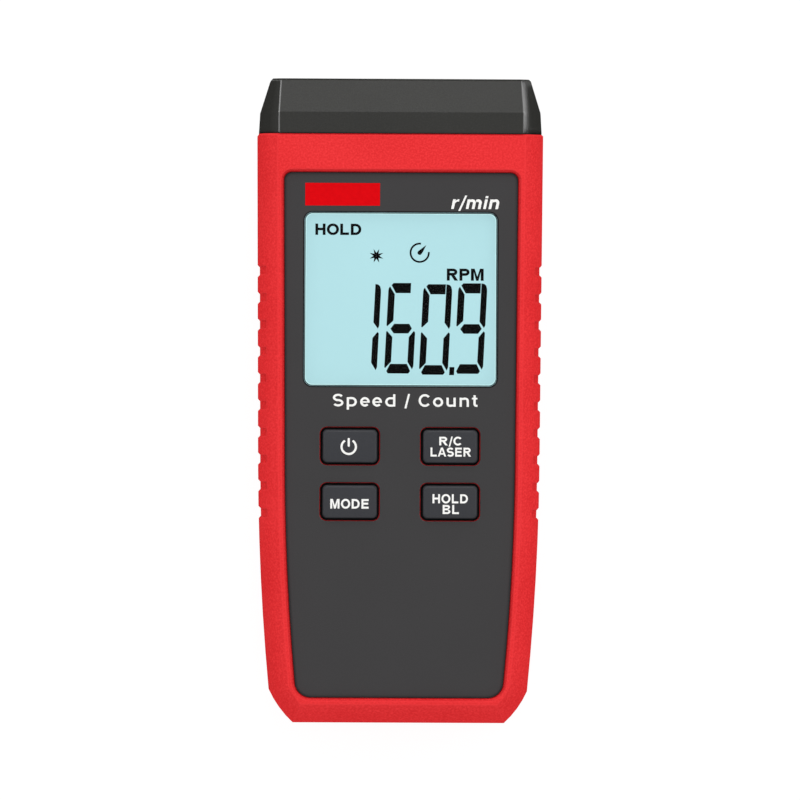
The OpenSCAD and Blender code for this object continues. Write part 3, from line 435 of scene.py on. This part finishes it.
def ring_halves(mid_x, mid_y, half_w, half_h, w):
    """Left and right half of a round letter, as two strokes that meet at the top and the foot."""
    radii = (half_w - w / 2, half_h - w / 2)
    return [stroke(arc((mid_x, mid_y), radii, first, first + 180, 21), w) for first in (90, 270)]


# Height of small letters, in a cell of capital height 1
SMALL_H = 0.74


def arch(start_x, right_x, w):
    """Stroke of a small letter's arch: out of a stem near the top, round and down to the foot."""
    h = w / 2
    turn = arc((right_x - h - 0.2, SMALL_H - h - 0.19), (0.2, 0.2), 90, 0, 9)
    return stroke(np.vstack([(start_x, SMALL_H - h - 0.02), turn, (right_x - h, 0)]), w)


def turned(outline, width):
    """Outline turned half round within a small letter's cell."""
    return np.array([width, SMALL_H]) - np.asarray(outline)


def letter(sign, w):
    """Width and closed outlines of one plain bold letter, of capital height 1 and even stroke width w."""
    h = w / 2
    if sign == "A":
        leg = np.array([(0, 0), (0.205, 0), (0.475, 0.76), (0.475, 1), (0.365, 1)])
        low_x, high_x = np.interp([0.22, 0.38], [0, 0.76], [0.205, 0.475])
        rail = [(low_x, 0.22), (0.95 - low_x, 0.22), (0.95 - high_x, 0.38), (high_x, 0.38)]
        return 0.95, [leg, leg * [-1, 1] + [0.95, 0], rail]
    if sign == "B":
        upper = bowl(w, 0.76, 0.52, 1, 0.46, w, foot_w=h)
        lower = bowl(w, 0.80, 0, 0.52, 0.48, w, head_w=h)
        return 0.80, [block(0, w, 0, 1), upper, lower]
    if sign == "C":
        return 0.88, [stroke(arc((0.47, 0.5), (0.47 - h, 0.515 - h), 40, 320, 31), w)]
    if sign == "D":
        return 0.84, [block(0, w, 0, 1), bowl(w, 0.84, 0, 1, 0.38, w)]
    if sign == "E":
        spine = stroke([(0.75, 1 - h), (h, 1 - h), (h, h), (0.75, h)], w)
        return 0.75, [spine, block(w, 0.70, 0.52 - h, 0.52 + h)]
    if sign == "H":
        return 0.81, [block(0, w, 0, 1), block(0.81 - w, 0.81, 0, 1), block(w, 0.81 - w, 0.52 - h, 0.52 + h)]
    if sign == "L":
        return 0.70, [stroke([(h, 1), (h, h), (0.70, h)], w)]
    if sign == "M":
        half = np.array([(0.39, 0), (w, 0.72), (w, 0), (0, 0), (0, 1), (1.25 * w, 1), (0.485, 0.33)])
        return 0.97, [np.vstack([half, (half * [-1, 1] + [0.97, 0])[-2::-1]])]
    if sign == "O":
        return 0.97, ring_halves(0.485, 0.5, 0.485, 0.515, w)
    if sign == "P":
        return 0.77, [block(0, w, 0, 1), bowl(w, 0.77, 0.40, 1, 0.44, w)]
    if sign == "R":
        leg = [(0.33, 0.42), (0.33 + 1.2 * w, 0.42), (0.86, 0), (0.86 - 1.22 * w, 0)]
        return 0.86, [block(0, w, 0, 1), bowl(w, 0.80, 0.42, 1, 0.48, w), leg]
    if sign == "S":
        ry = (1.03 - 2 * h) / 4
        top = arc((0.40, 1.015 - h - ry), (0.40 - h, ry), 28, 250)
        foot = arc((0.40, h + ry - 0.015), (0.40 - h, ry), 70, -152)
        return 0.80, [stroke(np.vstack([top, foot]), w)]
    if sign == "/":
        return 0.42, [[(0, -0.15), (0.15, -0.15), (0.42, 1.03), (0.27, 1.03)]]
    if sign == "d":
        left_bowl = bowl(w, 0.76, -0.015, 0.755, 0.38, w) * [-1, 1] + [0.76, 0]
        return 0.76, [block(0.76 - w, 0.76, 0, 1), left_bowl]
    if sign == "e":
        back = stroke(arc((0.36, 0.37), (0.36 - h, 0.385 - h), -13, 318, 31), w)
        return 0.72, [back, block(w, 0.72 - w, 0.30, 0.42)]
    if sign == "i":
        return w, [block(0, w, 0, SMALL_H), block(0, w, 0.83, 1)]
    if sign == "m":
        return 1.08, [block(0, w, 0, SMALL_H), arch(w, 0.54 + h, w), arch(0.54 + h, 1.08, w)]
    if sign == "n":
        return 0.70, [block(0, w, 0, SMALL_H), arch(w, 0.70, w)]
    if sign == "o":
        return 0.76, ring_halves(0.38, 0.37, 0.38, 0.385, w)
    if sign == "p":
        return 0.76, [block(0, w, -0.27, SMALL_H), bowl(w, 0.76, -0.015, 0.755, 0.38, w)]
    if sign == "r":
        under = [(w, 0.42), (0.28, 0.54), (0.36, 0.57), (0.46, 0.57)]
        over = [(0.46, 0.755), (0.36, 0.745), (0.28, 0.70), (w, 0.60)]
        return 0.46, [block(0, w, 0, SMALL_H), under + over]
    if sign == "t":
        hook = np.vstack([(0.2, 0.95), arc((0.36, 0.215), (0.16, 0.13), 180, 270, 7), (0.42, 0.085)])
        return 0.42, [stroke(hook, w), block(0, 0.2 - h, 0.60, SMALL_H), block(0.2 + h, 0.41, 0.60, SMALL_H)]
    if sign == "u":
        return 0.70, [turned(block(0, w, 0, SMALL_H), 0.70), turned(arch(w, 0.70, w), 0.70)]
    return 0.2, []


# Margins of letters that stand closer than the rest
TIGHT = {"A": 0.02, "/": 0.0, "O": 0.055, "C": 0.055, "S": 0.05, "o": 0.05, "e": 0.05, "t": 0.03}


def word_outlines(words, centre, width, height, w=0.2, slant=0.0, spacing=0.0):
    """Letters set side by side and scaled to a width and a capital height round a centre, leaned by slant."""
    outlines, x = [], 0.0
    for sign in words:
        margin = TIGHT.get(sign, 0.095) + spacing / 2
        letter_w, drawn = letter(sign, w)
        outlines += [np.asarray(outline, float) + [x + margin, 0] for outline in drawn]
        x += letter_w + 2 * margin
    outlines = [outline + np.column_stack([slant * outline[:, 1], 0 * outline[:, 1]]) for outline in outlines]
    low = min(outline[:, 0].min() for outline in outlines)
    high = max(outline[:, 0].max() for outline in outlines)
    size = [width / (high - low), height]
    return [(outline - [(low + high) / 2, 0.5]) * size + centre for outline in outlines]


# Prints on the face plate
PLATE_INK_Z = PLATE_TOP_Z + INK_GAP
unit_mark = word_outlines("r/min", (15.05, 40.4), 9.8, 2.65, w=0.2, slant=0.2)
finish_piece("print_unit", *prisms(unit_mark, PLATE_INK_Z), WHITE_INK, "housing", "white_plastic")
function_mark = word_outlines("Speed / Count", (1.0, 0.12), 29.4, 2.5, w=0.172, spacing=0.1)
finish_piece("print_functions", *prisms(function_mark, PLATE_INK_Z), WHITE_INK, "housing", "white_plastic")
badge = block(-19.5, -4.3, 39.65, 44.25)
finish_piece("print_badge", *prisms([badge], PLATE_INK_Z), BADGE_INK, "housing", "red_shell")

# Legends on the keys: text, offset from the key's centre, width and capital height
KEY_INK_Z = KEY_TOP_Z + INK_GAP
LEGENDS = {
    "laser": [("R/C", (0.0, 1.1), 4.5, 1.75), ("LASER", (0.1, -1.14), 8.25, 1.82)],
    "mode": [("MODE", (-0.05, -0.43), 7.8, 1.95)],
    "hold": [("HOLD", (0.02, 0.68), 7.2, 1.85), ("BL", (0.15, -1.5), 3.3, 1.85)],
}
LEGEND_STROKE = 0.207
for key, rows in LEGENDS.items():
    key_mid = middle("key_" + key)[:2]
    outlines = [outline for words, offset, width, height in rows
                for outline in word_outlines(words, key_mid + offset, width, height, LEGEND_STROKE)]
    finish_piece("legend_" + key, *prisms(outlines, KEY_INK_Z), WHITE_INK, key + "_key", "white_plastic")
power_at = middle("key_power")[:2] + [-0.25, -0.15]
POWER_R, POWER_STROKE = 1.46, 0.43
power_sign = [stroke(arc(power_at, POWER_R, 122, 418, 41), POWER_STROKE),
              bar(power_at + [0, 0.2], power_at + [0, 1.6], POWER_STROKE)]
finish_piece("legend_power", *prisms(power_sign, KEY_INK_Z), WHITE_INK, "power_key", "white_plastic")

# Rubber domes under the keys: the skin from the crown to the foot, and back up inside it to the contact pad
DOME_PROFILE = [(0, 3.0), (1.85, 3.0), (1.96, 2.95), (2.03, 2.85), (3.2, 0.8), (4.15, 0.8), (4.2, 0.75),
                (4.2, 0.0), (2.8, 0.0), (1.8, 2.4), (1.5, 2.4), (1.5, 1.0), (0, 1.0)]


def lathe(profile, centre, steps=48):
    """Profile of (radius, height) pairs, from axis to axis, turned round an upright axis through a centre.

    Each pair between the ends gives a ring of points, quads join ring to ring, and a fan closes each end.
    """
    radius, height = np.asarray(profile, float).T
    a = np.arange(steps) * 2 * math.pi / steps
    m = len(radius) - 2
    rings = np.stack([np.outer(radius[1:-1], np.cos(a)), np.outer(radius[1:-1], np.sin(a)),
                      np.repeat(height[1:-1, None], steps, 1)], -1).reshape(-1, 3)
    vertices = np.vstack([rings, (0, 0, height[0]), (0, 0, height[-1])]) + centre
    k, i = np.meshgrid(np.arange(m - 1) * steps, np.arange(steps), indexing="ij")
    i2 = (i + 1) % steps
    quads = np.stack([k + i, k + steps + i, k + steps + i2, k + i2], -1).reshape(-1, 4)
    first, last = i[0], (m - 1) * steps + i[0]
    ahead, last_ahead = i2[0], (m - 1) * steps + i2[0]
    top = np.column_stack([np.full(steps, m * steps), first, ahead])
    foot = np.column_stack([np.full(steps, m * steps + 1), last_ahead, last])
    return vertices, [*quads, *top, *foot]


for key in ("power", "laser", "mode", "hold"):
    low, high = node_box("dome_" + key)
    dome_foot = np.array([*middle("dome_" + key)[:2], low[2]])
    dome_mesh = lathe(DOME_PROFILE, dome_foot)
    dome = finish_piece("rubber_dome_" + key, *dome_mesh, DOME_RUBBER, "housing", "dome_rubber")
    shade_smooth(dome, SMOOTH)
    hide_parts("dome_" + key)
    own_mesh(dome)

# Display: seven-segment digits in a cell whose strokes lean with its height
DIGIT_LEAN = 0.049
SEGMENTS = {
    "a": [(0.6, 17.95), (1.0, 18.4), (4.56, 18.4), (4.56, 16.35), (1.55, 16.35)],
    "b": [(4.68, 18.4), (5.25, 18.3), (5.65, 17.95), (5.85, 17.35), (5.9, 16.7), (5.9, 9.9), (5.65, 9.3),
          (4.68, 10.6)],
    "c": [(4.65, 7.4), (5.6, 8.65), (5.9, 8.35), (5.9, 1.5), (5.65, 0.85), (4.65, 2.4)],
    "d": [(1.15, 1.95), (4.55, 1.95), (5.3, 0.5), (4.95, 0.0), (0.75, 0.0), (0.45, 0.5)],
    "e": [(0.0, 8.45), (0.17, 8.65), (1.32, 7.4), (1.32, 2.4), (0.17, 1.1), (0.0, 1.3)],
    "f": [(0.0, 9.75), (0.18, 9.6), (1.35, 10.75), (1.35, 16.1), (0.3, 17.7), (0.06, 17.3), (0.0, 16.8)],
    "g": [(0.83, 9.1), (1.57, 10.1), (4.6, 10.1), (5.2, 9.15), (4.5, 8.15), (1.55, 8.15)],
}
DIGIT_SEGMENTS = {"1": "bc", "6": "acdefg", "0": "abcdef", "9": "abcdfg"}
# Each digit with the left of its cell and the height of its foot; the reading's rows are a little uneven
READING = [("1", -10.69, 5.37), ("6", -3.30, 5.59), ("0", 3.77, 5.37), ("9", 10.90, 5.59)]
POINT_AT, POINT_SIZE = (9.95, 5.3), (1.0, 1.65)


def leaned(outline, left, foot):
    """A cell outline moved to its place, each point shifted sideways by the lean times its height."""
    flat = np.asarray(outline, float)
    return np.column_stack([flat[:, 0] + left + DIGIT_LEAN * flat[:, 1], flat[:, 1] + foot])


SEGMENT_Z = DISPLAY_TOP_Z + INK_GAP
reading = [leaned(SEGMENTS[s], left, foot) for digit, left, foot in READING for s in DIGIT_SEGMENTS[digit]]
reading.append(leaned(block(0, POINT_SIZE[0], 0, POINT_SIZE[1]), *POINT_AT))
finish_piece("display_reading", *prisms(reading, SEGMENT_Z), SEGMENT_INK, "housing", "black_plastic")

display_words = (word_outlines("HOLD", (-12.7, 34.85), 9.35, 2.3, w=0.225, spacing=-0.05)
                 + word_outlines("RPM", (13.15, 25.75), 7.5, 2.45, w=0.225, spacing=-0.09))
finish_piece("display_words", *prisms(display_words, SEGMENT_Z), SEGMENT_INK, "housing", "black_plastic")

# Round gauge sign with a needle, and a plain beam star with eight points
GAUGE_AT, GAUGE_R, GAUGE_STROKE = np.array([3.86, 30.16]), 1.86, 0.38
gauge = stroke(arc(GAUGE_AT, GAUGE_R, 82, 365, 49), GAUGE_STROKE)
needle = np.vstack([arc((0, 0), 0.45, 140, 320, 11), [(0.68, 0.22), (1.36, 1.6), (0.16, 0.68)]]) + GAUGE_AT
STAR_AT, STAR_IN, STAR_OUT = np.array([-4.94, 29.5]), 0.6, 1.5
star_points = [arc(STAR_AT, STAR_IN, 0, 315, 8), arc(STAR_AT, STAR_OUT, 22.5, 337.5, 8)]
star = np.stack(star_points, 1).reshape(-1, 2)
signs = prisms([gauge, needle, star], SEGMENT_Z)
finish_piece("display_signs", *signs, SEGMENT_INK, "housing", "black_plastic")


def rounded_frame(half_w, half_l, radius, steps=10):
    """Closed path round a rectangle with round corners, counter-clockwise."""
    corners = [(1, 1, 0), (-1, 1, 90), (-1, -1, 180), (1, -1, 270)]
    return np.vstack([arc((sx * (half_w - radius), sy * (half_l - radius)), radius, turn, turn + 90, steps)
                      for sx, sy, turn in corners])


def frame_sweep(profile):
    """A closed profile of (inset, z) pairs carried round the window's edge, as a ring of quads."""
    paths = [rounded_frame(*(WINDOW_HALF - inset), max(WINDOW_R - inset, 0.2)) for inset, _ in profile]
    n, m = len(paths[0]), len(profile)
    vertices = np.vstack([np.column_stack([path + WINDOW_MID, np.full(n, z)])
                          for path, (_, z) in zip(paths, profile)])
    i, k = np.meshgrid(np.arange(n), np.arange(m))
    i2, k2 = (i + 1) % n, (k + 1) % m
    quads = np.stack([k * n + i, k2 * n + i, k2 * n + i2, k * n + i2], -1).reshape(-1, 4)
    return vertices, quads


def flat_ring(outer, inner, z):
    """Profile of a thin flat ring between two insets from the window's edge."""
    low = z + INK_GAP
    return [(outer, low), (inner, low), (inner, low + INK_T), (outer, low + INK_T)]


# Dark lines of painted shade on the plate and on the window's edge, black print on the hidden flange, and a
# painted highlight on the chamfer inside them
EDGE_OUT, EDGE_IN, EDGE_RISE = 0.22, 0.4, 0.05
edge_z = WINDOW_TOP_Z + INK_GAP
edge_profile = [(EDGE_OUT, edge_z), (EDGE_IN, edge_z),
                (EDGE_IN, edge_z + INK_T), (EDGE_OUT, edge_z + EDGE_RISE)]
WINDOW_RINGS = {
    "window_line_painted_shade": (flat_ring(-0.22, 0.0, PLATE_TOP_Z), WINDOW_PRINT_AND_SHADE, "black_plastic"),
    "window_border": (flat_ring(-WINDOW_FLANGE + 0.1, -0.01, WINDOW_FLANGE_Z), WINDOW_PRINT_AND_SHADE, "black_plastic"),
    "window_rim_painted_shade": (flat_ring(0.05, EDGE_OUT, WINDOW_TOP_Z), WINDOW_PRINT_AND_SHADE, "black_plastic"),
    "window_edge_highlight": (edge_profile, WINDOW_EDGE_HIGHLIGHT, "window_clear"),
}
for name, (profile, finish, slot) in WINDOW_RINGS.items():
    finish_piece(name, *frame_sweep(profile), finish, "housing", slot)


# Studio: table, world, lamps and camera

# Share of the table that is plain white to the camera, the strength of that white, and the paper's own tone
TABLE_SEEN, TABLE_GLOW, TABLE_PAPER = 0.88, 1.06, 0.9


def studio_white(name):
    """White table paper: diffuse for light, and nearly plain white to the camera, mirrors and glass."""
    material = bpy.data.materials.new(name)
    material.use_nodes = True
    tree = material.node_tree
    tree.nodes.clear()
    path = add(tree, "ShaderNodeLightPath").outputs
    seen = add(tree, "ShaderNodeMath", {"operation": "MAXIMUM"},
               {0: path["Is Camera Ray"], 1: path["Is Glossy Ray"]}).outputs[0]
    seen = add(tree, "ShaderNodeMath", {"operation": "MAXIMUM"},
               {0: seen, 1: path["Is Transmission Ray"]}).outputs[0]
    share = add(tree, "ShaderNodeMath", {"operation": "MULTIPLY", 1: TABLE_SEEN}, {0: seen}).outputs[0]
    paper = add(tree, "ShaderNodeBsdfDiffuse", {"Color": (*[TABLE_PAPER] * 3, 1)}).outputs[0]
    glow = add(tree, "ShaderNodeEmission", {"Color": (1, 1, 1, 1), "Strength": TABLE_GLOW}).outputs[0]
    mix = add(tree, "ShaderNodeMixShader", links={0: share, 1: paper, 2: glow}).outputs[0]
    add(tree, "ShaderNodeOutputMaterial", links={"Surface": mix})
    return material


TABLE_HALF_M, TABLE_Z_M = 3.0, -0.0001
table_corners = np.column_stack([np.array(block(-1, 1, -1, 1)) * TABLE_HALF_M, np.full(4, TABLE_Z_M)])
table_mesh = bpy.data.meshes.new("table")
table_mesh.from_pydata(table_corners.tolist(), [], [(0, 1, 2, 3)])
table_mesh.materials.append(studio_white("white table paper"))
table = bpy.data.objects.new("table", table_mesh)
bpy.context.scene.collection.objects.link(table)

WORLD_SHARE = 0.59
world = bpy.data.worlds.new("studio")
bpy.context.scene.world = world
world.use_nodes = True
sky = world.node_tree.nodes["Background"]
sky.inputs["Color"].default_value = (1, 1, 1, 1)
sky.inputs["Strength"].default_value = WORLD_SHARE

LAMP_FAR_M = 1.3


def softbox(name, towards_deg, off_vertical_deg, size_m, share):
    """Square area lamp on a dome round the meter; share is its part of the light on a level surface.

    A square lamp of P watts gives a level white surface P cos(off) / (pi far)^2, which is solved for P.
    """
    off, towards = math.radians(off_vertical_deg), math.radians(towards_deg)
    lamp = bpy.data.lights.new(name, "AREA")
    lamp.shape = "SQUARE"
    lamp.size = size_m
    lamp.energy = share * (math.pi * LAMP_FAR_M) ** 2 / math.cos(off)
    holder = bpy.data.objects.new(name, lamp)
    way = np.array([math.sin(off) * math.cos(towards), math.sin(off) * math.sin(towards), math.cos(off)])
    holder.location = way * LAMP_FAR_M
    holder.rotation_euler = (0, off, towards)
    bpy.context.scene.collection.objects.link(holder)


softbox("main_softbox", 92, 60, 0.45, 0.12)
softbox("cap_softbox", 90, 37, 0.25, 0.10)
softbox("left_softbox", 175, 50, 0.20, 0.05)
softbox("right_softbox", 5, 42, 0.50, 0.10)
softbox("left_edge_softbox", 127, 45, 0.20, 0.02)
softbox("right_edge_softbox", 53, 45, 0.35, 0.03)
softbox("foot_softbox", 270, 58, 0.60, 0.07)

# The photograph's frame: 800 pixels show 163 mm. The meter leans a little clockwise in it, and the camera
# stands a little to its left
VIEW_MM = 163.05
AIM_MM = np.array([0.15, 0.20, 18.0])
CAMERA_FAR_M = 3.0
LEAN_DEG, CAMERA_LEFT_DEG = 0.26, 1.3
camera_data = bpy.data.cameras.new("camera")
camera_data.sensor_width = 36
camera_data.lens = 36 * CAMERA_FAR_M / (VIEW_MM * MM)
camera = bpy.data.objects.new("camera", camera_data)
left, lean = math.radians(CAMERA_LEFT_DEG), math.radians(LEAN_DEG)
back = np.array([-math.sin(left) * math.cos(lean), -math.sin(left) * math.sin(lean), math.cos(left)])
camera.location = AIM_MM * MM + CAMERA_FAR_M * back
camera.rotation_euler = (0, -left, lean)
bpy.context.scene.collection.objects.link(camera)
bpy.context.scene.camera = camera
bpy.context.scene.view_settings.view_transform = "Standard"
